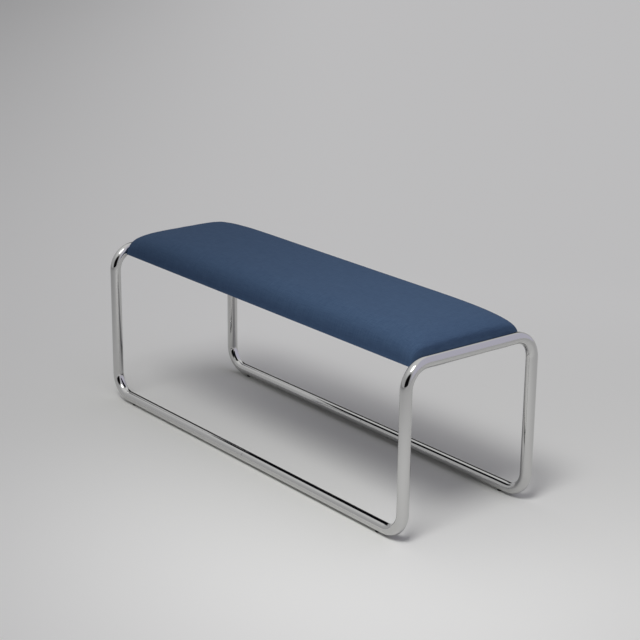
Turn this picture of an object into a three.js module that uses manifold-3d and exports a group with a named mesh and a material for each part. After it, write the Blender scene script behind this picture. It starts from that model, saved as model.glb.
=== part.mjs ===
// A hotel luggage bench: a loop of bent chromed tube that carries an upholstered seat.
import * as THREE from 'three';
import { mergeVertices } from 'three/addons/utils/BufferGeometryUtils.js';
import Module from 'manifold-3d';

const wasm = await Module();
wasm.setup();

// Driving dimensions in millimetres. +X runs along the bench, +Y across it and +Z up from the floor.
const overallLength = 1200; // over the tube at both ends
const overallDepth = 410; // over the tube at both long sides
const crossbarTop = 428; // top of the crossbars above the floor
const clearance = 0.3; // between pieces that touch or fit together

// Frame tube
const tubeDiameter = 28;
const tubeWall = 2;
const bendRadius = 56; // at the tube's centreline

// Sleeve and set screws that join the two halves of the frame inside each runner
const spigotLength = 100;
const spigotWall = 3;
const setScrewDiameter = 6;
const setScrewSetback = 25; // from the joint to the screw's axis
const setScrewSink = 0.5; // below the tube's surface
const setScrewSocket = 3; // across the flats
const setScrewSocketDepth = 3;

// Push-in floor glides
const glideDiameter = 13;
const glideStand = 3; // holds the runner this far above the floor
const glideCollar = 1.2; // how far the foot laps up beside the tube's underside
const glideChamfer = 0.8;
const glideSetback = 25; // from the end of a bend to the glide's axis
const glideStemDiameter = 6.4;
const glideBarbDiameter = 8.4;
const glideBarbRise = 1.3; // from the tube's inner wall to the barb
const glideBarbLength = 3;
const glideTipDiameter = 4.4;

// Upholstered seat
const seatInset = 37; // from the tube's outer side in to the seat's lower edge
const seatDrop = 10.5; // from the crossbar's axis down to the seat's lower edge
const crownRise = 68; // from the lower edge up to the top of the crown
const endRise = 35; // from the lower edge up to the seat's top at its ends
const crownFall = 0.12; // share of the rise that the crown loses towards the long sides
const sideFullness = 8; // exponent of the rolled long sides: higher is squarer
const endFullness = 7.5; // exponent of the rolled ends: higher is squarer
const coverThickness = 1.5;
const hemWidth = 25; // cover turned in under the board
const boardThickness = 21;
const liningThickness = 0.8;
const liningInset = 10; // from the seat's lower edge in to the lining's edge
const liningCornerRadius = 6;

// Welded lugs and the screws that hold the seat on them
const lugWidth = 36;
const lugThickness = 4;
const lugCornerRadius = 8;
const lugEnd = 16; // from the screw's axis to the lug's free end
const lugSetback = 40; // from the end of a bend to the lug's middle
const screwDiameter = 6;
const screwSetback = 15; // from the hem to the screw's axis
const screwHeadDiameter = 10.5;
const screwHeadHeight = 3.3;
const screwHeadEdge = 1; // straight rim of the domed head
const screwHeadFlat = 6; // flat face round the socket
const screwSocket = 4; // across the flats
const screwSocketDepth = 2;
const screwEndGap = 1.5; // the screw stops this far below the top of its nut
const washerDiameter = 14;
const washerThickness = 1.6;
const teeNutFlangeDiameter = 19;
const teeNutFlangeThickness = 1.5;
const teeNutBarrelLength = 10;
const teeNutBarrelWall = 0.9;

// Facet counts
const tubeSides = 20;
const bendSteps = 8;
const roundSides = 16;
const copeSides = 48; // where a piece is cut to the tube's round
const domeSteps = 3;
const seatLengthSteps = 24;
const seatDepthSteps = 16;

// Places worked out from the driving dimensions
const tubeRadius = tubeDiameter / 2;
const boreRadius = tubeRadius - tubeWall;
const legX = overallLength / 2 - tubeRadius;
const legY = overallDepth / 2 - tubeRadius;
const runnerZ = glideStand + tubeRadius;
const crossbarZ = crossbarTop - tubeRadius;
const glideX = legX - bendRadius - glideSetback;
const lugY = legY - bendRadius - lugSetback;

const spigotRadius = boreRadius - clearance;
const spigotBoreRadius = spigotRadius - spigotWall;

const seatHalfLength = legX - tubeRadius - clearance;
const seatHalfDepth = overallDepth / 2 - seatInset;
const seatBase = crossbarZ - seatDrop;
const boardTop = seatBase + coverThickness + clearance + boardThickness;
const liningTop = seatBase - clearance;
const lugTop = liningTop - liningThickness - clearance;
const washerTop = lugTop - lugThickness - clearance;
const headTop = washerTop - washerThickness - clearance;
const screwX = seatHalfLength - hemWidth - screwSetback;
const screwHoleRadius = screwDiameter / 2 + clearance;
const teeNutBarrelRadius = screwHoleRadius + teeNutBarrelWall;

// Finishes
const chrome = new THREE.MeshStandardMaterial({ color: 0xc8cace, roughness: 0.08, metalness: 1 });
const zincSteel = new THREE.MeshStandardMaterial({ color: 0xa9adb0, roughness: 0.4, metalness: 1 });
const blackPlastic = new THREE.MeshStandardMaterial({ color: 0x17181a, roughness: 0.6, metalness: 0 });
const blueFabric = new THREE.MeshStandardMaterial({ color: 0x3f5674, roughness: 0.95, metalness: 0 });
const paleFoam = new THREE.MeshStandardMaterial({ color: 0xe4dcc4, roughness: 1, metalness: 0 });
const plywood = new THREE.MeshStandardMaterial({ color: 0xc9a877, roughness: 0.75, metalness: 0 });
const blackLining = new THREE.MeshStandardMaterial({ color: 0x1d1e20, roughness: 1, metalness: 0 });

// A closed geometry as a solid that can be joined and cut.
// Triangles that a point on a turning axis collapses are left out.
function solid(geometry) {
  const bare = geometry.clone();
  bare.deleteAttribute('normal');
  bare.deleteAttribute('uv');
  const merged = mergeVertices(bare);
  const index = merged.index.array;
  const triangles = [];
  for (let i = 0; i < index.length; i += 3) {
    const [a, b, c] = index.slice(i, i + 3);
    if (a !== b && b !== c && c !== a) triangles.push(a, b, c);
  }
  return new wasm.Manifold(new wasm.Mesh({
    numProp: 3,
    vertProperties: new Float32Array(merged.attributes.position.array),
    triVerts: new Uint32Array(triangles),
  }));
}

// A solid back as a geometry.
function shape(body) {
  const mesh = body.getMesh();
  const geometry = new THREE.BufferGeometry();
  geometry.setAttribute('position', new THREE.BufferAttribute(mesh.vertProperties, 3));
  geometry.setIndex(new THREE.BufferAttribute(mesh.triVerts, 1));
  geometry.computeVertexNormals();
  return geometry;
}

// A body turned about a vertical axis from [radius, height] points, lowest first.
function turned(profile) {
  const points = profile.map(([radius, height]) => new THREE.Vector2(radius, height));
  return new THREE.LatheGeometry(points, roundSides).rotateX(Math.PI / 2);
}

// An upright round bar between two heights, standing at x and y.
function uprightBar(radius, bottom, top, x = 0, y = 0, sides = roundSides) {
  const bar = new THREE.CylinderGeometry(radius, radius, top - bottom, sides);
  return bar.rotateX(Math.PI / 2).translate(x, y, (bottom + top) / 2);
}

// An upright hexagonal bar of a width across its flats.
function hexBar(acrossFlats, bottom, top) {
  return uprightBar(acrossFlats / Math.sqrt(3), bottom, top, 0, 0, 6);
}

// A bar along Y, as round as the tube and its clearance, that cuts a piece to sit against the tube.
function copeBar(length) {
  return new THREE.CylinderGeometry(tubeRadius + clearance, tubeRadius + clearance, length, copeSides);
}

// A block between two corners.
function block(low, high) {
  const size = high.clone().sub(low);
  const middle = low.clone().add(high).divideScalar(2);
  return new THREE.BoxGeometry(size.x, size.y, size.z).translate(middle.x, middle.y, middle.z);
}

// A circular ring outline.
function ringOutline(outerRadius, innerRadius) {
  const outline = new THREE.Shape().absarc(0, 0, outerRadius, 0, 2 * Math.PI);
  outline.holes.push(new THREE.Path().absarc(0, 0, innerRadius, 0, 2 * Math.PI));
  return outline;
}

// The centreline of a bent tube: straight runs through square corners, each rounded to one radius.
// Its parameter gives a straight run one step and a bend several, so rings stand only where the tube turns.
class BentLine extends THREE.Curve {
  constructor(corners, radius) {
    super();
    this.pieces = [];
    let start = corners[0];
    for (let i = 1; i < corners.length - 1; i++) {
      const into = corners[i].clone().sub(corners[i - 1]).normalize();
      const away = corners[i + 1].clone().sub(corners[i]).normalize();
      const bendStart = corners[i].clone().addScaledVector(into, -radius);
      const bendEnd = corners[i].clone().addScaledVector(away, radius);
      const centre = bendStart.clone().addScaledVector(away, radius);
      this.addRun(start, bendStart);
      this.addBend(centre, into.multiplyScalar(radius), away.multiplyScalar(-radius));
      start = bendEnd;
    }
    this.addRun(start, corners[corners.length - 1]);
    this.steps = this.pieces.reduce((sum, piece) => sum + piece.steps, 0);
  }

  addRun(start, end) {
    this.pieces.push({ steps: 1, at: (share, point) => point.lerpVectors(start, end, share) });
  }

  addBend(centre, sineArm, cosineArm) {
    const at = (share, point) => {
      const angle = share * Math.PI / 2;
      point.copy(centre).addScaledVector(sineArm, Math.sin(angle));
      return point.addScaledVector(cosineArm, Math.cos(angle));
    };
    this.pieces.push({ steps: bendSteps, at });
  }

  getPoint(t, point = new THREE.Vector3()) {
    let left = t * this.steps;
    let piece = this.pieces[0];
    for (piece of this.pieces) {
      if (left <= piece.steps) break;
      left -= piece.steps;
    }
    return piece.at(Math.min(left / piece.steps, 1), point);
  }

  getUtoTmapping(u) {
    return u;
  }
}

// One half of the frame: half a runner, a leg, the crossbar, a leg and half a runner, bent from one tube,
// with holes in the runners' undersides for the glides and set screws.
function frameTube() {
  const jointX = clearance / 2;
  const corners = [
    [jointX, -legY, runnerZ], [legX, -legY, runnerZ], [legX, -legY, crossbarZ],
    [legX, legY, crossbarZ], [legX, legY, runnerZ], [jointX, legY, runnerZ],
  ].map((corner) => new THREE.Vector3(...corner));
  const path = new BentLine(corners, bendRadius);
  const outline = ringOutline(tubeRadius, boreRadius);
  const options = { extrudePath: path, steps: path.steps, curveSegments: tubeSides / 2 };
  let tube = solid(new THREE.ExtrudeGeometry(outline, options));
  for (const y of [-legY, legY]) {
    const glideHole = uprightBar(glideStemDiameter / 2 + clearance, 0, runnerZ, glideX, y);
    const screwHole = uprightBar(setScrewDiameter / 2 + clearance, 0, runnerZ, setScrewSetback, y);
    tube = tube.subtract(solid(glideHole)).subtract(solid(screwHole));
  }
  return shape(tube);
}

// The sleeve inside a runner's joint, centred on the joint, with a hole below for each set screw.
function spigot() {
  const options = { depth: spigotLength, bevelEnabled: false, curveSegments: tubeSides / 2 };
  const sleeve = new THREE.ExtrudeGeometry(ringOutline(spigotRadius, spigotBoreRadius), options);
  sleeve.rotateY(Math.PI / 2).translate(-spigotLength / 2, 0, 0);
  let body = solid(sleeve);
  for (const x of [-setScrewSetback, setScrewSetback]) {
    body = body.subtract(solid(uprightBar(setScrewDiameter / 2 + clearance, -tubeRadius, 0, x)));
  }
  return shape(body);
}

// A set screw sunk in the tube's underside, its hexagonal socket facing the floor.
// Height 0 is the tube's axis.
function setScrew() {
  const bottom = setScrewSink - tubeRadius;
  const screw = solid(uprightBar(setScrewDiameter / 2, bottom, -spigotBoreRadius));
  const socket = hexBar(setScrewSocket, bottom - clearance, bottom + setScrewSocketDepth);
  return shape(screw.subtract(solid(socket)));
}

// A glide: a flat foot saddled to the tube's underside, with a barbed stem that snaps through the wall.
function glide() {
  const foot = glideDiameter / 2;
  const footTop = glideStand + glideCollar;
  const barbBottom = glideStand + tubeWall + glideBarbRise;
  const barbTop = barbBottom + glideBarbLength;
  const disc = turned([
    [0, 0], [foot - glideChamfer, 0], [foot, glideChamfer], [foot, footTop], [0, footTop],
  ]);
  const runner = copeBar(2 * glideDiameter).rotateZ(Math.PI / 2).translate(0, 0, runnerZ);
  const stem = turned([
    [0, glideStand / 2], [glideStemDiameter / 2, glideStand / 2], [glideStemDiameter / 2, barbBottom],
    [glideBarbDiameter / 2, barbBottom], [glideTipDiameter / 2, barbTop], [0, barbTop],
  ]);
  return shape(solid(disc).subtract(solid(runner)).add(solid(stem)));
}

// A lug: a flat plate under the seat, coped to the underside of the crossbar where it is welded.
function lug() {
  const inner = screwX - lugEnd;
  const half = lugWidth / 2;
  const corner = lugCornerRadius;
  const plan = new THREE.Shape();
  plan.moveTo(legX, -half);
  plan.lineTo(legX, half);
  plan.lineTo(inner + corner, half);
  plan.absarc(inner + corner, half - corner, corner, Math.PI / 2, Math.PI);
  plan.absarc(inner + corner, corner - half, corner, Math.PI, 1.5 * Math.PI);
  plan.closePath();
  plan.holes.push(new THREE.Path().absarc(screwX, 0, screwHoleRadius, 0, 2 * Math.PI));
  const options = { depth: lugThickness, bevelEnabled: false, curveSegments: roundSides / 2 };
  const plate = new THREE.ExtrudeGeometry(plan, options).translate(0, 0, lugTop - lugThickness);
  const crossbar = copeBar(2 * lugWidth).translate(legX, 0, crossbarZ);
  return shape(solid(plate).subtract(solid(crossbar)));
}

// A button-head screw that stands head down, with its socket facing the floor.
// Its dome is a quarter of an ellipse from a flat face out to the rim.
function seatScrew() {
  const headBottom = headTop - screwHeadHeight;
  const rimBottom = headTop - screwHeadEdge;
  const headRadius = screwHeadDiameter / 2;
  const flatRadius = screwHeadFlat / 2;
  const shank = screwDiameter / 2;
  const end = boardTop - screwEndGap;
  const dome = [];
  for (let i = 0; i <= domeSteps; i++) {
    const angle = i / domeSteps * Math.PI / 2;
    const radius = flatRadius + (headRadius - flatRadius) * Math.sin(angle);
    dome.push([radius, rimBottom - (rimBottom - headBottom) * Math.cos(angle)]);
  }
  const screw = turned([
    [0, headBottom], ...dome, [headRadius, headTop], [shank, headTop], [shank, end], [0, end],
  ]);
  const socket = hexBar(screwSocket, headBottom - clearance, headBottom + screwSocketDepth);
  return shape(solid(screw).subtract(solid(socket)));
}

// A plain washer.
function washer() {
  const bottom = washerTop - washerThickness;
  const outer = washerDiameter / 2;
  return turned([
    [screwHoleRadius, bottom], [outer, bottom], [outer, washerTop],
    [screwHoleRadius, washerTop], [screwHoleRadius, bottom],
  ]);
}

// A tee nut: its flange lies flush in the board's top and its barrel reaches down round the screw.
function teeNut() {
  const flange = teeNutFlangeDiameter / 2;
  const flangeBottom = boardTop - teeNutFlangeThickness;
  const barrelBottom = boardTop - teeNutBarrelLength;
  return turned([
    [screwHoleRadius, barrelBottom], [teeNutBarrelRadius, barrelBottom], [teeNutBarrelRadius, flangeBottom],
    [flange, flangeBottom], [flange, boardTop], [screwHoleRadius, boardTop], [screwHoleRadius, barrelBottom],
  ]);
}

// A share from -1 to 1 moved towards the edges, where the seat's sides turn down.
function nearEdges(share) {
  return Math.sin(Math.PI / 2 * share);
}

// The crown's height over the lower edge, at shares of the half length and half depth.
// Along the seat it falls from the rise to the end's rise, and across the seat to nothing,
// each as a superellipse.
function crownHeight(alongShare, acrossShare, rise, riseAtEnd) {
  const along = riseAtEnd + (rise - riseAtEnd) * Math.sqrt(1 - Math.abs(alongShare) ** endFullness);
  const roll = Math.sqrt(1 - Math.abs(acrossShare) ** sideFullness);
  return along * roll * (1 - crownFall * acrossShare ** 2);
}

// The seat's crowned body, drawn in by an inset on every side: sections across the seat lofted along it.
function crownedBody(inset) {
  const sections = [];
  for (let i = 0; i <= seatLengthSteps; i++) {
    const alongShare = nearEdges(2 * i / seatLengthSteps - 1);
    const section = [];
    for (let j = 0; j <= seatDepthSteps; j++) {
      const acrossShare = nearEdges(nearEdges(2 * j / seatDepthSteps - 1));
      const height = crownHeight(alongShare, acrossShare, crownRise - 2 * inset, endRise - 2 * inset);
      section.push(new THREE.Vector3(
        alongShare * (seatHalfLength - inset),
        acrossShare * (seatHalfDepth - inset),
        seatBase + inset + height,
      ));
    }
    sections.push(section);
  }
  return loft(sections);
}

// A closed body through flat convex sections that have equal numbers of points.
function loft(sections) {
  const count = sections[0].length;
  const last = (sections.length - 1) * count;
  const index = [];
  for (let ring = 0; ring < last; ring += count) {
    for (let j = 0; j < count; j++) {
      const here = ring + j;
      const beside = ring + (j + 1) % count;
      index.push(here, here + count, beside, beside, here + count, beside + count);
    }
  }
  for (let j = 1; j < count - 1; j++) {
    index.push(0, j, j + 1);
    index.push(last, last + j + 1, last + j);
  }
  const geometry = new THREE.BufferGeometry();
  geometry.setFromPoints(sections.flat());
  geometry.setIndex(index);
  geometry.computeVertexNormals();
  return geometry;
}

// The fabric cover: a skin over the crowned body, turned in below as a hem round an open middle.
function seatCover() {
  const open = new THREE.Vector3(seatHalfLength - hemWidth, seatHalfDepth - hemWidth, 0);
  const opening = block(
    open.clone().negate().setZ(seatBase - clearance),
    open.clone().setZ(seatBase + coverThickness + clearance),
  );
  const skin = solid(crownedBody(0)).subtract(solid(crownedBody(coverThickness)));
  return shape(skin.subtract(solid(opening)));
}

// What the cover holds, cut to a slab between two heights.
function seatCore(bottom, top) {
  const slab = block(
    new THREE.Vector3(-overallLength / 2, -overallDepth / 2, bottom),
    new THREE.Vector3(overallLength / 2, overallDepth / 2, top),
  );
  return solid(crownedBody(coverThickness + clearance)).intersect(solid(slab));
}

// The places of the four seat screws.
const screwPlaces = [];
for (const x of [-screwX, screwX]) {
  for (const y of [-lugY, lugY]) screwPlaces.push([x, y]);
}

// The plywood board under the foam, bored and counterbored for the tee nuts.
function seatBoard() {
  let board = seatCore(seatBase, boardTop);
  const barrelHole = teeNutBarrelRadius + clearance;
  const flangeHole = teeNutFlangeDiameter / 2 + clearance;
  const flangeFloor = boardTop - teeNutFlangeThickness - clearance;
  const above = boardTop + clearance;
  for (const [x, y] of screwPlaces) {
    const bore = uprightBar(barrelHole, seatBase, above, x, y);
    const counterbore = uprightBar(flangeHole, flangeFloor, above, x, y);
    board = board.subtract(solid(bore)).subtract(solid(counterbore));
  }
  return shape(board);
}

// The foam pad between the board and the cover.
function seatFoam() {
  return shape(seatCore(boardTop + clearance, seatBase + crownRise));
}

// The lining that closes the seat's underside, pierced by the screws.
function seatLining() {
  const x = seatHalfLength - liningInset;
  const y = seatHalfDepth - liningInset;
  const r = liningCornerRadius;
  const plan = new THREE.Shape();
  plan.absarc(x - r, y - r, r, 0, Math.PI / 2);
  plan.absarc(r - x, y - r, r, Math.PI / 2, Math.PI);
  plan.absarc(r - x, r - y, r, Math.PI, 1.5 * Math.PI);
  plan.absarc(x - r, r - y, r, 1.5 * Math.PI, 2 * Math.PI);
  plan.closePath();
  for (const [holeX, holeY] of screwPlaces) {
    plan.holes.push(new THREE.Path().absarc(holeX, holeY, screwHoleRadius, 0, 2 * Math.PI));
  }
  const options = { depth: liningThickness, bevelEnabled: false, curveSegments: roundSides / 2 };
  return new THREE.ExtrudeGeometry(plan, options).translate(0, 0, liningTop - liningThickness);
}

// A named piece of the bench, standing at a place in its group.
function piece(group, name, geometry, material, x = 0, y = 0, z = 0) {
  const mesh = new THREE.Mesh(geometry, material);
  mesh.name = name;
  mesh.position.set(x, y, z);
  group.add(mesh);
}

const bench = new THREE.Group();

// The two ends are alike: the left one is the right one turned half round, so its first side is the far one.
const ends = [
  { name: 'right', turn: 0, sides: ['near', 'far'] },
  { name: 'left', turn: Math.PI, sides: ['far', 'near'] },
];
for (const { name, turn, sides } of ends) {
  const end = new THREE.Group();
  end.rotation.z = turn;
  bench.add(end);
  piece(end, `${name}_frame_tube`, frameTube(), chrome);
  sides.forEach((side, i) => {
    const sign = 2 * i - 1;
    const corner = `${name}_${side}`;
    piece(end, `${corner}_glide`, glide(), blackPlastic, glideX, sign * legY);
    piece(end, `${corner}_set_screw`, setScrew(), zincSteel, setScrewSetback, sign * legY, runnerZ);
    piece(end, `${corner}_lug`, lug(), chrome, 0, sign * lugY);
    piece(end, `${corner}_washer`, washer(), zincSteel, screwX, sign * lugY);
    piece(end, `${corner}_seat_screw`, seatScrew(), zincSteel, screwX, sign * lugY);
    piece(end, `${corner}_tee_nut`, teeNut(), zincSteel, screwX, sign * lugY);
  });
}

piece(bench, 'near_spigot', spigot(), zincSteel, 0, -legY, runnerZ);
piece(bench, 'far_spigot', spigot(), zincSteel, 0, legY, runnerZ);
piece(bench, 'seat_board', seatBoard(), plywood);
piece(bench, 'seat_foam', seatFoam(), paleFoam);
piece(bench, 'seat_cover', seatCover(), blueFabric);
piece(bench, 'seat_lining', seatLining(), blackLining);

export default bench;
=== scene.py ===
import math

import bmesh
import bpy
import numpy as np
from mathutils import Matrix, Vector


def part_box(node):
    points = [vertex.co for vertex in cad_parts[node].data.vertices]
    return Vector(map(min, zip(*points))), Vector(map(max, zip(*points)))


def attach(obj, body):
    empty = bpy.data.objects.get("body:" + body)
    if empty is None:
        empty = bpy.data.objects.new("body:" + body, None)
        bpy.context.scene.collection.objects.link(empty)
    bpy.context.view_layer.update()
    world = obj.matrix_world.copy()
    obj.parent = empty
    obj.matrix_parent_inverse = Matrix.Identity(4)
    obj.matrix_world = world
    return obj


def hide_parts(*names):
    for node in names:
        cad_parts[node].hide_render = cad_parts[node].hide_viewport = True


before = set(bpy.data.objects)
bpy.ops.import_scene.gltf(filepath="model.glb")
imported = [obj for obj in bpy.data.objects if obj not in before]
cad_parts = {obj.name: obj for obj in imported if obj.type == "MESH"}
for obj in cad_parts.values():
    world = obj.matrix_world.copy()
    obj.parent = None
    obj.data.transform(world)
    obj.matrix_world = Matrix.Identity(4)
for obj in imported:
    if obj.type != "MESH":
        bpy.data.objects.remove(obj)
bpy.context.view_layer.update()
print("frame loaded,", len(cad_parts), "nodes")


def toLinear(hexColour):
    # sRGB hex to linear RGBA by the sRGB curve
    srgb = np.array([int(hexColour[i:i + 2], 16) for i in (1, 3, 5)]) / 255
    linear = np.where(srgb <= 0.04045, srgb / 12.92, ((srgb + 0.055) / 1.055) ** 2.4)
    return (*linear.tolist(), 1.0)


def addNode(tree, kind, inputs=(), **settings):
    # one node with its settings; an input takes a value, or the output socket it is linked from
    node = tree.nodes.new(kind)
    for name, value in settings.items():
        setattr(node, name, value)
    for key, value in dict(inputs).items():
        if isinstance(value, bpy.types.NodeSocket):
            tree.links.new(value, node.inputs[key])
        else:
            node.inputs[key].default_value = value
    return node


def newMaterial(name, **values):
    # a Principled material whose constant values sit on its own sockets
    material = bpy.data.materials.new(name)
    material.use_nodes = True
    tree = material.node_tree
    shader = tree.nodes["Principled BSDF"]
    for key, value in values.items():
        shader.inputs[key.replace("_", " ")].default_value = value
    return material, tree, shader


def gridFaces(rows, columns, closeRows=False, closeColumns=False):
    # quads between neighbours on a grid of points counted row by row
    row = np.arange(rows if closeRows else rows - 1)[:, None]
    column = np.arange(columns if closeColumns else columns - 1)[None, :]
    nextRow = (row + 1) % rows
    nextColumn = (column + 1) % columns
    corners = [row * columns + column, row * columns + nextColumn,
               nextRow * columns + nextColumn, nextRow * columns + column]
    return np.stack(np.broadcast_arrays(*corners), -1).reshape(-1, 4)


def stackFaces(rings, around):
    # quads round a stack of closed rings, with a cap on the first ring and on the last
    caps = [np.arange(around)[::-1], np.arange(around) + (rings - 1) * around]
    return [*gridFaces(rings, around, closeColumns=True), *caps]


def newPiece(name, points, faces, smoothAngle=40):
    # a mesh object at the origin from arrays of points and faces, shaded smooth up to an angle
    mesh = bpy.data.meshes.new(name)
    mesh.from_pydata(np.reshape(points, (-1, 3)).tolist(), [], [list(map(int, face)) for face in faces])
    mesh.validate()
    mesh.shade_smooth()
    mesh.set_sharp_from_angle(angle=math.radians(smoothAngle))
    piece = bpy.data.objects.new(name, mesh)
    bpy.context.scene.collection.objects.link(piece)
    return piece


def settle(piece, material, slot, *nodes):
    # gives a finished piece its material and its body, and hides the nodes that it stands for
    piece.data.materials.clear()
    piece.data.materials.append(material)
    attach(piece, "root")
    if nodes:
        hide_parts(*nodes)
    return piece


def evaluated(piece):
    # the piece's mesh with its modifiers worked in
    graph = bpy.context.evaluated_depsgraph_get()
    return bpy.data.meshes.new_from_object(piece.evaluated_get(graph))


# Camera at the photograph's viewing angle, fitted to the tube's edges
camera = {"position": (3.0654, -2.4195, 1.5787), "target": (0.0504, 0, 0.3457), "roll": 0.63, "lens": 92.92}


def makeCamera():
    data = bpy.data.cameras.new("camera")
    data.lens = camera["lens"]
    eye = Vector(camera["position"])
    back = (eye - Vector(camera["target"])).normalized()
    across = Vector((0, 0, 1)).cross(back).normalized()
    up = back.cross(across)
    turn = Matrix.Rotation(math.radians(camera["roll"]), 3, back)
    axes = Matrix((turn @ across, turn @ up, back)).transposed()
    lens = bpy.data.objects.new("camera", data)
    lens.matrix_world = Matrix.Translation(eye) @ axes.to_4x4()
    bpy.context.scene.collection.objects.link(lens)
    bpy.context.scene.camera = lens


makeCamera()
print("camera set")


# Polished chrome plate on steel tube: a mirror finish, with only faint wipe marks in its gloss
def chromePlate():
    material, tree, shader = newMaterial("polishedChrome", Metallic=1.0)
    shader.inputs["Base Color"].default_value = toLinear("#cccccb")
    place = addNode(tree, "ShaderNodeTexCoord")
    wipes = addNode(tree, "ShaderNodeTexNoise", {"Vector": place.outputs["Object"], "Scale": 1 / 0.03,
                                                 "Detail": 4.0})
    gloss = addNode(tree, "ShaderNodeMapRange", {"Value": wipes.outputs["Fac"], "To Min": 0.03,
                                                 "To Max": 0.07})
    tree.links.new(gloss.outputs["Result"], shader.inputs["Roughness"])
    return material


# Bright zinc plate on steel: a soft grey metal with a cloudy, faintly bluish film
def zincPlate():
    material, tree, shader = newMaterial("zincPlatedSteel", Metallic=1.0)
    place = addNode(tree, "ShaderNodeTexCoord")
    cloud = addNode(tree, "ShaderNodeTexNoise", {"Vector": place.outputs["Object"], "Scale": 1 / 0.004,
                                                 "Detail": 3.0})
    tint = addNode(tree, "ShaderNodeMix", {"Factor": cloud.outputs["Fac"], "A": toLinear("#a9adb2"),
                                           "B": toLinear("#c4c6c4")}, data_type="RGBA")
    gloss = addNode(tree, "ShaderNodeMapRange", {"Value": cloud.outputs["Fac"], "To Min": 0.28,
                                                 "To Max": 0.45})
    tree.links.new(tint.outputs["Result"], shader.inputs["Base Color"])
    tree.links.new(gloss.outputs["Result"], shader.inputs["Roughness"])
    return material


# Moulded black plastic: matt, with a fine spark-eroded grain
def blackPlastic():
    material, tree, shader = newMaterial("mouldedBlackPlastic", Roughness=0.55, IOR=1.5)
    shader.inputs["Base Color"].default_value = toLinear("#19191b")
    place = addNode(tree, "ShaderNodeTexCoord")
    grain = addNode(tree, "ShaderNodeTexNoise", {"Vector": place.outputs["Object"], "Scale": 1 / 0.0008,
                                                 "Detail": 2.0})
    bump = addNode(tree, "ShaderNodeBump", {"Height": grain.outputs["Fac"], "Strength": 0.25,
                                            "Distance": 0.0001})
    tree.links.new(bump.outputs["Normal"], shader.inputs["Normal"])
    return material


# Birch plywood, sanded: pale, with long soft grain along the board
def birchPlywood():
    material, tree, shader = newMaterial("birchPlywood", Roughness=0.6, IOR=1.5)
    place = addNode(tree, "ShaderNodeTexCoord")
    along = addNode(tree, "ShaderNodeMapping", {"Vector": place.outputs["Object"],
                                                  "Scale": (1 / 0.25, 1 / 0.011, 1 / 0.0033)})
    grain = addNode(tree, "ShaderNodeTexNoise", {"Vector": along.outputs["Vector"], "Scale": 1.0,
                                                 "Detail": 5.0})
    tint = addNode(tree, "ShaderNodeMix", {"Factor": grain.outputs["Fac"], "A": toLinear("#b9945f"),
                                           "B": toLinear("#dcc193")}, data_type="RGBA")
    tree.links.new(tint.outputs["Result"], shader.inputs["Base Color"])
    return material


chrome = chromePlate()
zinc = zincPlate()
plastic = blackPlastic()
plywood = birchPlywood()

# Frame tube: sizes in metres
tube = {"diameter": 0.028, "wall": 0.002, "bendRadius": 0.056, "endRound": 0.0003,
        "sides": 72, "bendSteps": 30}


def bentPath(corners, radius, steps):
    # Straight runs through square corners, each rounded by a quarter circle. The two cross axes of the
    # profile turn with each bend about the bend's own axis, so the profile never twists.
    side = np.array([0.0, 1.0, 0.0])
    up = np.array([0.0, 0.0, 1.0])
    angle = np.linspace(0, np.pi / 2, steps + 1)[:, None]
    points, sides, ups = [corners[:1]], [side[None]], [up[None]]
    for before, corner, after in zip(corners[:-2], corners[1:-1], corners[2:]):
        into = (corner - before) / np.linalg.norm(corner - before)
        away = (after - corner) / np.linalg.norm(after - corner)
        axis = np.cross(into, away)
        points.append(corner + radius * ((np.sin(angle) - 1) * into + (1 - np.cos(angle)) * away))
        for axes, start in ((sides, side), (ups, up)):
            turned = start * np.cos(angle) + np.cross(axis, start) * np.sin(angle)
            axes.append(turned + axis * (axis @ start) * (1 - np.cos(angle)))
        side, up = sides[-1][-1], ups[-1][-1]
    points.append(corners[-1:])
    sides.append(side[None])
    ups.append(up[None])
    return np.concatenate(points), np.concatenate(sides), np.concatenate(ups)


def tubeSurface():
    # A circle carried along the bent path, out along the outer wall and back along the bore. Each end has
    # a ring set in by a small round, so the cut edge catches light.
    low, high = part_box("right_frame_tube")
    radius = tube["diameter"] / 2
    legX, legY = high.x - radius, high.y - radius
    runnerZ, crossbarZ = low.z + radius, high.z - radius
    corners = np.array([[low.x, -legY, runnerZ], [legX, -legY, runnerZ], [legX, -legY, crossbarZ],
                        [legX, legY, crossbarZ], [legX, legY, runnerZ], [low.x, legY, runnerZ]])
    centres, sides, ups = bentPath(corners, tube["bendRadius"], tube["bendSteps"])
    last = len(centres) - 1
    out = np.r_[0, 0:last + 1, last]
    order = np.r_[out, last:-1:-1]
    radii = np.full(len(order), radius)
    radii[len(out):] -= tube["wall"]
    radii[[0, len(out) - 1]] -= tube["endRound"]
    centres = centres[order]
    centres[[1, len(out) - 2], 0] += tube["endRound"]
    turn = np.linspace(0, 2 * np.pi, tube["sides"], endpoint=False)[None, :, None]
    rims = np.cos(turn) * sides[order][:, None] + np.sin(turn) * ups[order][:, None]
    points = centres[:, None] + radii[:, None, None] * rims
    return points, gridFaces(len(order), tube["sides"], True, True)


def makeTubes():
    points, faces = tubeSurface()
    halfTurn = np.array([-1, -1, 1])
    for end, turn in (("right", 1), ("left", halfTurn)):
        piece = newPiece(f"{end}_tube", points * turn, faces[:, ::-1])
        settle(piece, chrome, "chrome_tube", f"{end}_frame_tube")


makeTubes()
print("frame tubes swept")

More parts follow.
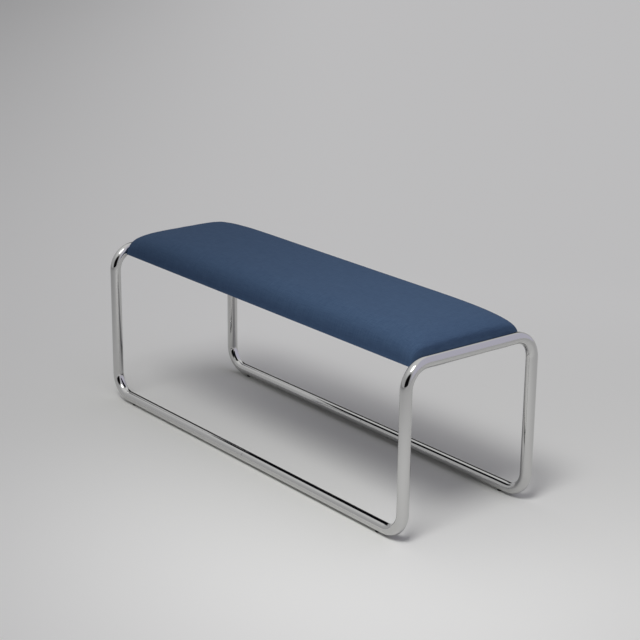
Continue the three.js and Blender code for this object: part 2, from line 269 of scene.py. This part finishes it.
# Upholstered seat: sizes in metres. The pad is made a little small, swollen by simulation and capped
seat = {"rise": 0.068, "endRise": 0.039, "fall": 0.09, "sideFullness": 10, "endFullness": 9,
        "shrink": 0.002, "sections": 80, "across": 64, "voxel": 0.005, "pressure": 4, "cap": 0.002,
        "frames": 20, "skirt": 0.015, "firmEdge": 0.012, "smoothing": 8,
        "sharpAngle": 50, "thread": 0.0016, "slubWidth": 0.0014, "slubLength": 0.025}


def crownSurface(inset):
    # Height over the lower edge is [end rise + (rise - end rise) (1 - |x/a|^n)^(1/2)] (1 - |y/b|^m)^(1/2)
    # (1 - fall (y/b)^2) on the half length a and half depth b. Each section closes along a flat base, which
    # hangs lower by a skirt that is cut off in the end.
    low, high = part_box("seat_cover")
    a, b = high.x, high.y
    along = np.sin(np.pi / 2 * np.linspace(-1, 1, seat["sections"]))[:, None]
    across = np.sin(np.pi / 2 * np.sin(np.pi / 2 * np.linspace(-1, 1, seat["across"])))[None, :]
    rise, endRise = seat["rise"] - inset, seat["endRise"] - inset
    ridge = endRise + (rise - endRise) * np.sqrt(1 - np.abs(along) ** seat["endFullness"])
    roll = np.sqrt(1 - np.abs(across) ** seat["sideFullness"]) * (1 - seat["fall"] * across ** 2)
    top = np.stack(np.broadcast_arrays(a * along, b * across, low.z + ridge * roll), -1)
    flat = top[:, ::-1] * [1, 1, 0] + [0, 0, low.z - seat["skirt"]]
    return np.concatenate([top, flat], 1)


def paddedSeat():
    points = crownSurface(seat["shrink"])
    blank = newPiece("seat_blank", points, stackFaces(*points.shape[:2]))
    remesh = blank.modifiers.new("voxels", "REMESH")
    remesh.mode = "VOXEL"
    remesh.voxel_size = seat["voxel"]
    pad = bpy.data.objects.new("seat_cushion", evaluated(blank))
    bpy.context.scene.collection.objects.link(pad)
    bpy.data.objects.remove(blank)
    return pad


def meshPoints(mesh):
    points = np.empty(len(mesh.vertices) * 3)
    mesh.vertices.foreach_get("co", points)
    return points.reshape(-1, 3)


def swell(pad):
    # cloth under inner pressure, held below the lower edge; no point moves further than the cap
    start = meshPoints(pad.data)
    held = pad.vertex_groups.new(name="held")
    held.add(np.flatnonzero(start[:, 2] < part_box("seat_cover")[0].z).tolist(), 1.0, "REPLACE")
    cloth = pad.modifiers.new("cloth", "CLOTH")
    cloth.settings.use_pressure = True
    cloth.settings.uniform_pressure_force = seat["pressure"]
    cloth.settings.vertex_group_mass = held.name
    cloth.settings.effector_weights.gravity = 0
    cloth.point_cache.frame_end = seat["frames"]
    scene = bpy.context.scene
    for number in range(1, seat["frames"] + 1):
        scene.frame_set(number)
    swollen = evaluated(pad)
    moved = meshPoints(swollen) - start
    length = np.linalg.norm(moved, axis=1, keepdims=True)
    moved *= np.minimum(1, seat["cap"] / np.maximum(length, 1e-9))
    print("seat swelled by up to", round(float(length.max()) * 1000, 2), "mm")
    pad.modifiers.remove(cloth)
    scene.frame_set(1)
    return start + moved


def relaxed(points, mesh, rounds):
    # each round moves every point up to halfway to the mean of its neighbours, and at the edge not at all
    share = np.clip((points[:, 2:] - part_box("seat_cover")[0].z) / seat["firmEdge"], 0, 1) / 2
    edges = np.empty(len(mesh.edges) * 2, int)
    mesh.edges.foreach_get("vertices", edges)
    first, second = edges.reshape(-1, 2).T
    count = np.bincount(edges, minlength=len(points))[:, None]
    for _ in range(rounds):
        total = np.zeros_like(points)
        np.add.at(total, first, points[second])
        np.add.at(total, second, points[first])
        points = points + share * (total / count - points)
    return points


def trimSkirt(mesh):
    # cuts the skirt off at the seat's lower edge and closes the flat base
    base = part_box("seat_cover")[0].z
    work = bmesh.new()
    work.from_mesh(mesh)
    cut = bmesh.ops.bisect_plane(work, geom=[*work.verts, *work.edges, *work.faces], plane_co=(0, 0, base),
                                 plane_no=(0, 0, -1), clear_outer=True)
    rim = [part for part in cut["geom_cut"] if isinstance(part, bmesh.types.BMEdge)]
    bmesh.ops.contextual_create(work, geom=rim)
    work.to_mesh(mesh)
    work.free()


# Woven wool upholstery: a plain weave of matt blue yarn with uneven slubs and a soft nap. It is drawn about
# twice as coarse as it is, so that it shows
def woolWeave():
    material, tree, shader = newMaterial("blueWoolWeave", Roughness=0.95, Sheen_Weight=0.03,
                                         Sheen_Roughness=0.5, Specular_IOR_Level=0.1)
    place = addNode(tree, "ShaderNodeTexCoord").outputs["Object"]
    axes = addNode(tree, "ShaderNodeSeparateXYZ", {"Vector": place}).outputs
    # threads run along the seat, and across it and down its sides
    girth = addNode(tree, "ShaderNodeMath", {0: axes["Y"], 1: axes["Z"]}, operation="ADD").outputs[0]
    waves = []
    for way in (axes["X"], girth):
        turn = addNode(tree, "ShaderNodeMath", {0: way, 1: math.pi / seat["thread"]}, operation="MULTIPLY")
        waves.append(addNode(tree, "ShaderNodeMath", {0: turn.outputs[0]}, operation="SINE").outputs[0])
    over = addNode(tree, "ShaderNodeMath", {0: waves[0], 1: waves[1]}, operation="MULTIPLY").outputs[0]
    bump = addNode(tree, "ShaderNodeBump", {"Height": over, "Strength": 0.5, "Distance": seat["thread"] / 4})
    tree.links.new(bump.outputs["Normal"], shader.inputs["Normal"])
    slubs = []
    fine, long = 1 / seat["slubWidth"], 1 / seat["slubLength"]
    for scale in ((long, fine, fine), (fine, long, long)):
        stretch = addNode(tree, "ShaderNodeMapping", {"Vector": place, "Scale": scale}).outputs["Vector"]
        noise = addNode(tree, "ShaderNodeTexNoise", {"Vector": stretch, "Scale": 1.0, "Detail": 2.0})
        slubs.append(noise.outputs["Fac"])
    yarn = addNode(tree, "ShaderNodeMath", {0: slubs[0], 1: slubs[1]}, operation="ADD").outputs[0]
    # the yarn's tone is uneven along its slubs, and the weave's dips are a little darker as painted shade
    depth = addNode(tree, "ShaderNodeMath", {0: over, 1: 0.12, 2: yarn}, operation="MULTIPLY_ADD").outputs[0]
    shade = addNode(tree, "ShaderNodeMapRange", {"Value": depth, "From Min": 0.6, "From Max": 1.4})
    tint = addNode(tree, "ShaderNodeMix", {"Factor": shade.outputs["Result"], "A": toLinear("#3c506c"),
                                           "B": toLinear("#4a607c")}, data_type="RGBA")
    tree.links.new(tint.outputs["Result"], shader.inputs["Base Color"])
    return material


def makeSeat():
    pad = paddedSeat()
    start = meshPoints(pad.data)
    points = swell(pad)
    pad.vertex_groups.clear()
    pad.data.vertices.foreach_set("co", relaxed(points, pad.data, seat["smoothing"]).ravel())
    finer = pad.modifiers.new("finer", "SUBSURF")
    finer.levels = finer.render_levels = 1
    smooth = evaluated(pad)
    pad.modifiers.clear()
    pad.data = smooth
    trimSkirt(smooth)
    smooth.shade_smooth()
    smooth.set_sharp_from_angle(angle=math.radians(seat["sharpAngle"]))
    settle(pad, woolWeave(), "seat_fabric", "seat_cover", "seat_foam")


makeSeat()
print("seat padded")

# Board inside the seat: its edges are eased, so that the cover never wears on them
board = {"inset": 0.014, "corner": 0.05, "ease": 0.003, "lift": 0.0005}


def roundedOutline(halfLength, halfDepth, corner, steps=12):
    # four quarter circles, one at each corner of a rectangle, counted once round it
    angle = np.linspace(0, np.pi / 2, steps)[None, :] + np.pi / 2 * np.arange(4)[:, None]
    turnX = np.sign(np.cos(np.pi / 4 + np.pi / 2 * np.arange(4)))[:, None]
    turnY = np.sign(np.sin(np.pi / 4 + np.pi / 2 * np.arange(4)))[:, None]
    x = turnX * (halfLength - corner) + corner * np.cos(angle)
    y = turnY * (halfDepth - corner) + corner * np.sin(angle)
    return np.stack([x.ravel(), y.ravel()], -1)


def makeBoard():
    # the outline at four heights, set in by the ease at the lowest and the highest, and closed at both
    low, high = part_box("seat_board")
    ease = board["ease"]
    levels = [(ease, low.z + board["lift"]), (0, low.z + ease), (0, high.z - 2 * ease), (ease, high.z - ease)]
    rows = []
    for back, height in levels:
        back += board["inset"]
        ring = roundedOutline(high.x - back, high.y - back, board["corner"])
        rows.append(np.c_[ring, np.full(len(ring), height)])
    piece = newPiece("board", rows, stackFaces(len(rows), len(rows[0])))
    settle(piece, plywood, "plywood", "seat_board")


makeBoard()
print("board cut")

# Lining under the seat: a thin cloth pulled flat over the board and stapled along its edge
lining = {"sag": 0.0012, "corner": 0.006, "rings": 24}


def liningSurface():
    # The outline shrunk in even steps to the middle, on two levels. It sags a little between its edges:
    # depth = sag (1 - s^4) on the step s from 0 in the middle to 1 at the edge.
    low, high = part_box("seat_lining")
    step = np.linspace(0.02, 1, lining["rings"])[:, None, None]
    ring = roundedOutline(high.x, high.y, lining["corner"])[None]
    depth = np.broadcast_to(lining["sag"] * (1 - step ** 4), (lining["rings"], ring.shape[1], 1))
    upper, lower = (np.concatenate([step * ring, height - depth], -1) for height in (high.z, low.z))
    return np.concatenate([upper, lower[::-1]])


# Black spun-bonded lining: matt, with a fine felted mottle
def blackLining():
    material, tree, shader = newMaterial("blackLining", Roughness=0.9, Specular_IOR_Level=0.2)
    place = addNode(tree, "ShaderNodeTexCoord")
    felt = addNode(tree, "ShaderNodeTexNoise", {"Vector": place.outputs["Object"], "Scale": 1 / 0.0015,
                                                "Detail": 3.0})
    tint = addNode(tree, "ShaderNodeMix", {"Factor": felt.outputs["Fac"], "A": toLinear("#121214"),
                                           "B": toLinear("#2a2a2d")}, data_type="RGBA")
    tree.links.new(tint.outputs["Result"], shader.inputs["Base Color"])
    return material


def makeLining():
    points = liningSurface()
    piece = newPiece("lining_cloth", points, stackFaces(*points.shape[:2]))
    settle(piece, blackLining(), "lining", "seat_lining")


makeLining()
print("lining fitted")

# Materials for the pieces that stay as they are
finishes = {"spigot": zinc, "set_screw": zinc, "glide": plastic, "lug": chrome, "washer": zinc,
            "seat_screw": zinc, "tee_nut": zinc}
for name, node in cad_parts.items():
    for ending, material in finishes.items():
        if name.endswith(ending):
            node.data.materials.clear()
            node.data.materials.append(material)

# Studio: a pale paper floor, a large soft light above the front, and a nearer one with the same aim
# The paper's tones: the plain paper, a painted shadow round the bench, painted shade towards one side, and a
# darker, bluer tone passed on to bounced light, which paints shade on the seat's lower front edge
studio = {"floorRadius": 20.0, "rings": 24, "spokes": 96,
          "paper": "#f7f7f4", "paintedShadowPaper": "#dcdcd9", "shadedPaper": "#c2c2c0", "bounce": "#54678c",
          "paintedShadowAt": (0.3, 0.38, 0), "paintedShadowTo": 1.5, "shadeAlong": (0.63, 0.777, 0), "shadeFrom": 0.2,
          "shadeTo": -3.4, "clearFrom": 9.0, "clearTo": 16.0, "backdrop": "#b9b9ba", "fill": 0.66}
key = {"from": (0.23, -0.455, 1.0), "strength": 0.5, "angle": 25.0}
pool = {"towards": (0.6, -0.2, 0.45), "distance": 2.6, "cone": 44.0, "radius": 0.5, "power": 132.0}

# Cards round the room that the chrome mirrors. Each has the azimuth and elevation of its middle, its half
# width and its soft edge in degrees, and its tone
cards = {"ceiling": {"at": (0, 90), "reach": (30, 40), "tone": "#e6e6e6"},
         "coolWall": {"at": (135, 25), "reach": (45, 15), "tone": "#cbc9d8"},
         "darkRoom": {"at": (34, 10), "reach": (24, 14), "tone": "#0b0b0c"},
         "darkCorner": {"at": (231, 20), "reach": (12, 8), "tone": "#0c0b0a"}}


def seenRays(tree):
    # 1 where the camera or a mirror looks, and 0 where light is only passed on
    light = addNode(tree, "ShaderNodeLightPath").outputs
    seen = addNode(tree, "ShaderNodeMath", {0: light["Is Camera Ray"], 1: light["Is Glossy Ray"]},
                   operation="MAXIMUM")
    return seen.outputs[0]


# Pale background paper: matt, with painted shade towards one side, where the room's light falls off, and a
# painted shadow round the bench. It throws little light back up at the seat: it passes on a darker, bluer
# tone than it shows, which paints shade on the seat's lower front edge
def palePaper():
    material, tree, shader = newMaterial("palePaper", Roughness=0.9, Specular_IOR_Level=0.0)
    place = addNode(tree, "ShaderNodeTexCoord").outputs["Object"]
    along = addNode(tree, "ShaderNodeVectorMath", {0: place, 1: studio["shadeAlong"]},
                    operation="DOT_PRODUCT")
    away = addNode(tree, "ShaderNodeVectorMath", {0: place}, operation="LENGTH")
    apart = addNode(tree, "ShaderNodeVectorMath", {0: place, 1: studio["paintedShadowAt"]}, operation="DISTANCE")
    steps = []
    # masks for painted shade towards one side, for that shade cleared again far off, and for the painted
    # shadow round the bench
    for measure, start, end in ((along, studio["shadeTo"], studio["shadeFrom"]),
                                (away, studio["clearFrom"], studio["clearTo"]), (apart, 0, studio["paintedShadowTo"])):
        step = addNode(tree, "ShaderNodeMapRange", {"Value": measure.outputs["Value"], "From Min": start,
                                                    "From Max": end}, interpolation_type="SMOOTHSTEP")
        steps.append(step.outputs["Result"])
    shade, clear, far = steps
    pale = addNode(tree, "ShaderNodeMath", {0: shade, 1: clear}, operation="MAXIMUM").outputs[0]
    tint = toLinear(studio["paper"])
    # the tint takes in the painted shadow round the bench, then the painted shade towards one side, and last,
    # for light that only bounces on, a darker, bluer tone that paints shade on the seat's lower front edge
    for share, tone in ((far, "paintedShadowPaper"), (pale, "shadedPaper"), (seenRays(tree), "bounce")):
        mix = addNode(tree, "ShaderNodeMix", {"Factor": share, "A": toLinear(studio[tone]), "B": tint},
                      data_type="RGBA")
        tint = mix.outputs["Result"]
    tree.links.new(tint, shader.inputs["Base Color"])
    return material


def makeFloor():
    # a flat disc of rings round the origin, closer together in the middle
    rings, spokes = studio["rings"], studio["spokes"]
    turn = np.linspace(0, 2 * np.pi, spokes, endpoint=False)[None, :]
    radius = (studio["floorRadius"] * np.linspace(0.001, 1, rings) ** 2)[:, None]
    points = np.stack(np.broadcast_arrays(radius * np.cos(turn), radius * np.sin(turn), 0 * turn), -1)
    floor = newPiece("floor", points, [*gridFaces(rings, spokes, closeColumns=True), np.arange(spokes)])
    floor.data.materials.append(palePaper())


def addLamp(name, kind, power, aim, **settings):
    # a lamp whose light runs against the aim
    data = bpy.data.lights.new(name, kind)
    data.energy = power
    for setting, value in settings.items():
        setattr(data, setting, value)
    lamp = bpy.data.objects.new(name, data)
    lamp.rotation_euler = aim.to_track_quat("Z", "Y").to_euler()
    bpy.context.scene.collection.objects.link(lamp)
    return lamp


def makeLights():
    addLamp("key", "SUN", key["strength"], Vector(key["from"]), angle=math.radians(key["angle"]))
    aim = Vector(key["from"]).normalized()
    lamp = addLamp("pool", "SPOT", pool["power"], aim, spot_size=math.radians(pool["cone"]), spot_blend=1.0,
                   shadow_soft_size=pool["radius"])
    lamp.location = Vector(pool["towards"]) + pool["distance"] * aim
    lamp.visible_glossy = False


def makeWorld():
    world = bpy.data.worlds.new("studio")
    world.use_nodes = True
    tree = world.node_tree
    place = addNode(tree, "ShaderNodeTexCoord")
    tone = addNode(tree, "ShaderNodeRGB").outputs[0]
    tone.default_value = toLinear(studio["backdrop"])
    for card in cards.values():
        turn, rise = (math.radians(angle) for angle in card["at"])
        middle = (math.sin(turn) * math.cos(rise), -math.cos(turn) * math.cos(rise), math.sin(rise))
        inner, edge = card["reach"]
        near = addNode(tree, "ShaderNodeVectorMath", {0: place.outputs["Generated"], 1: middle},
                       operation="DOT_PRODUCT")
        share = addNode(tree, "ShaderNodeMapRange", {"Value": near.outputs["Value"],
                                                     "From Min": math.cos(math.radians(inner + edge)),
                                                     "From Max": math.cos(math.radians(inner))},
                        interpolation_type="SMOOTHSTEP")
        blend = addNode(tree, "ShaderNodeMix", {"Factor": share.outputs["Result"], "A": tone,
                                                "B": toLinear(card["tone"])}, data_type="RGBA")
        tone = blend.outputs["Result"]
    light = addNode(tree, "ShaderNodeLightPath")
    shown = addNode(tree, "ShaderNodeMix", {"Factor": light.outputs["Is Camera Ray"], "A": tone,
                                            "B": toLinear(studio["backdrop"])}, data_type="RGBA")
    strength = addNode(tree, "ShaderNodeMath", {0: seenRays(tree), 1: 1 - studio["fill"], 2: studio["fill"]},
                       operation="MULTIPLY_ADD")
    background = tree.nodes["Background"]
    tree.links.new(shown.outputs["Result"], background.inputs["Color"])
    tree.links.new(strength.outputs[0], background.inputs["Strength"])
    bpy.context.scene.world = world


makeFloor()
makeLights()
makeWorld()
bpy.context.scene.view_settings.view_transform = "Standard"
print("studio lit")
